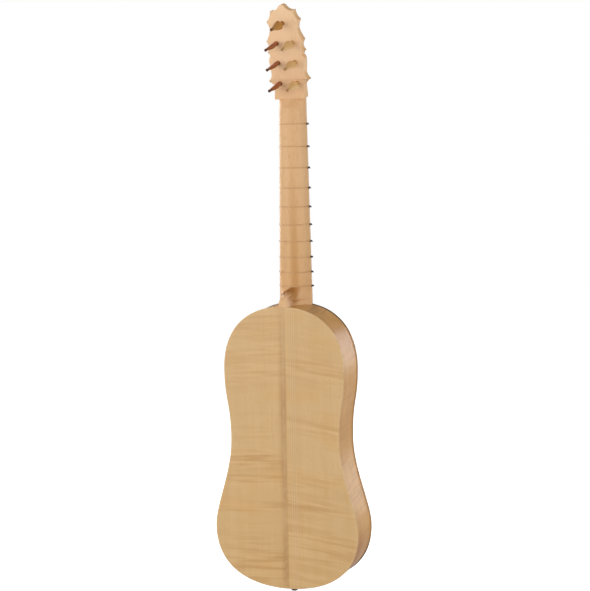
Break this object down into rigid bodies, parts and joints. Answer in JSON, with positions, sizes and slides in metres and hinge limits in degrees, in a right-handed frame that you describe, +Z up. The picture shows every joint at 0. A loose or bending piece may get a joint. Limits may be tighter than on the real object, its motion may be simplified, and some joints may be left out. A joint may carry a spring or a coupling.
{
  "type": "renaissance guitar",
  "caption": "Slender figure-of-eight plucked instrument with a flat flamed back, carved fin heel, tied gut frets and a scalloped flat head with rear-fitted tapered pegs.",
  "frame": {"origin": "centre of the end button's flat bottom face, on the body's centre line and at half the body's depth", "axes": "+Z runs up the body and neck to the head; +Y is out of the back, so the soundboard faces -Y; +X is the treble side"},
  "size_m": [0.1948, 0.0851, 0.7518],
  "materials": {
    "spruce": "thin clear varnish over straight-grained spruce",
    "flamed_maple": "satin varnish over figured maple",
    "rib_maple": "satin varnish over maple",
    "neck_wood": "satin varnish over blond hardwood",
    "inner_wood": "bare wood",
    "rose_wood_lattice": "carved pear wood, oiled",
    "dark_edging": "blackened hardwood, polished",
    "peg_wood": "turned and carved fruitwood, oiled",
    "bridge_wood": "stained fruitwood, oiled",
    "bone": "polished bone",
    "gut": "twisted gut, oiled"
  },
  "bodies": {
    "guitar": {"back_bar_lower": "inner_wood", "back_bar_middle": "inner_wood", "back_bar_upper": "inner_wood", "back_bass": "flamed_maple", "back_lining_bass": "inner_wood", "back_lining_treble": "inner_wood", "back_seam_strip": "inner_wood", "back_treble": "flamed_maple", "belly_bar_lower": "spruce", "belly_bar_upper": "spruce", "bridge": "bridge_wood", "edge_binding_bass": "dark_edging", "edge_binding_treble": "dark_edging", "end_button": "dark_edging", "fingerboard": "neck_wood", "front_lining_bass": "inner_wood", "front_lining_treble": "inner_wood", "head_facing": "dark_edging", "head_plate": "neck_wood", "neck": "neck_wood", "neck_block": "inner_wood", "nut": "bone", "rib_bass": "rib_maple", "rib_treble": "rib_maple", "rose": "rose_wood_lattice", "soundboard_bass": "spruce", "soundboard_treble": "spruce", "string_1": "gut", "string_2": "gut", "string_3": "gut", "string_4": "gut", "string_5": "gut", "string_6": "gut", "string_7": "gut", "tail_block": "inner_wood", "tail_strip": "dark_edging"},
    "tuning_peg_1": {"peg_1": "peg_wood"},
    "tuning_peg_2": {"peg_2": "peg_wood"},
    "tuning_peg_3": {"peg_3": "peg_wood"},
    "tuning_peg_4": {"peg_4": "peg_wood"},
    "tuning_peg_5": {"peg_5": "peg_wood"},
    "tuning_peg_6": {"peg_6": "peg_wood"},
    "tuning_peg_7": {"peg_7": "peg_wood"},
    "tied_fret_1": {"fret_1": "gut"},
    "tied_fret_2": {"fret_2": "gut"},
    "tied_fret_3": {"fret_3": "gut"},
    "tied_fret_4": {"fret_4": "gut"},
    "tied_fret_5": {"fret_5": "gut"},
    "tied_fret_6": {"fret_6": "gut"},
    "tied_fret_7": {"fret_7": "gut"},
    "tied_fret_8": {"fret_8": "gut"},
    "tied_fret_9": {"fret_9": "gut"},
    "tied_fret_10": {"fret_10": "gut"}
  },
  "joints": [
    {"name": "peg_1_turn", "type": "hinge", "parent": "guitar", "child": "tuning_peg_1", "pos_m": [0.0004, 0.00146, 0.72808], "axis": [0, 0.9655, -0.2605], "continuous": true},
    {"name": "peg_2_turn", "type": "hinge", "parent": "guitar", "child": "tuning_peg_2", "pos_m": [0.0118, -0.01832, 0.6548], "axis": [0, 0.9655, -0.2605], "continuous": true},
    {"name": "peg_3_turn", "type": "hinge", "parent": "guitar", "child": "tuning_peg_3", "pos_m": [-0.0118, -0.01832, 0.6548], "axis": [0, 0.9655, -0.2605], "continuous": true},
    {"name": "peg_4_turn", "type": "hinge", "parent": "guitar", "child": "tuning_peg_4", "pos_m": [0.0116, -0.01144, 0.68029], "axis": [0, 0.9655, -0.2605], "continuous": true},
    {"name": "peg_5_turn", "type": "hinge", "parent": "guitar", "child": "tuning_peg_5", "pos_m": [-0.0116, -0.01144, 0.68029], "axis": [0, 0.9655, -0.2605], "continuous": true},
    {"name": "peg_6_turn", "type": "hinge", "parent": "guitar", "child": "tuning_peg_6", "pos_m": [0.0107, -0.005, 0.70414], "axis": [0, 0.9655, -0.2605], "continuous": true},
    {"name": "peg_7_turn", "type": "hinge", "parent": "guitar", "child": "tuning_peg_7", "pos_m": [-0.0107, -0.005, 0.70414], "axis": [0, 0.9655, -0.2605], "continuous": true},
    {"name": "fret_1_slide", "type": "slide", "parent": "guitar", "child": "tied_fret_1", "axis": [0, 0, 1], "range_m": [-0.003, 0.003]},
    {"name": "fret_2_slide", "type": "slide", "parent": "guitar", "child": "tied_fret_2", "axis": [0, 0, 1], "range_m": [-0.003, 0.003]},
    {"name": "fret_3_slide", "type": "slide", "parent": "guitar", "child": "tied_fret_3", "axis": [0, 0, 1], "range_m": [-0.003, 0.003]},
    {"name": "fret_4_slide", "type": "slide", "parent": "guitar", "child": "tied_fret_4", "axis": [0, 0, 1], "range_m": [-0.003, 0.003]},
    {"name": "fret_5_slide", "type": "slide", "parent": "guitar", "child": "tied_fret_5", "axis": [0, 0, 1], "range_m": [-0.003, 0.003]},
    {"name": "fret_6_slide", "type": "slide", "parent": "guitar", "child": "tied_fret_6", "axis": [0, 0, 1], "range_m": [-0.003, 0.003]},
    {"name": "fret_7_slide", "type": "slide", "parent": "guitar", "child": "tied_fret_7", "axis": [0, 0, 1], "range_m": [-0.003, 0.003]},
    {"name": "fret_8_slide", "type": "slide", "parent": "guitar", "child": "tied_fret_8", "axis": [0, 0, 1], "range_m": [-0.003, 0.003]},
    {"name": "fret_9_slide", "type": "slide", "parent": "guitar", "child": "tied_fret_9", "axis": [0, 0, 1], "range_m": [-0.003, 0.003]},
    {"name": "fret_10_slide", "type": "slide", "parent": "guitar", "child": "tied_fret_10", "axis": [0, 0, 1], "range_m": [-0.001, 0.002]}
  ]
}
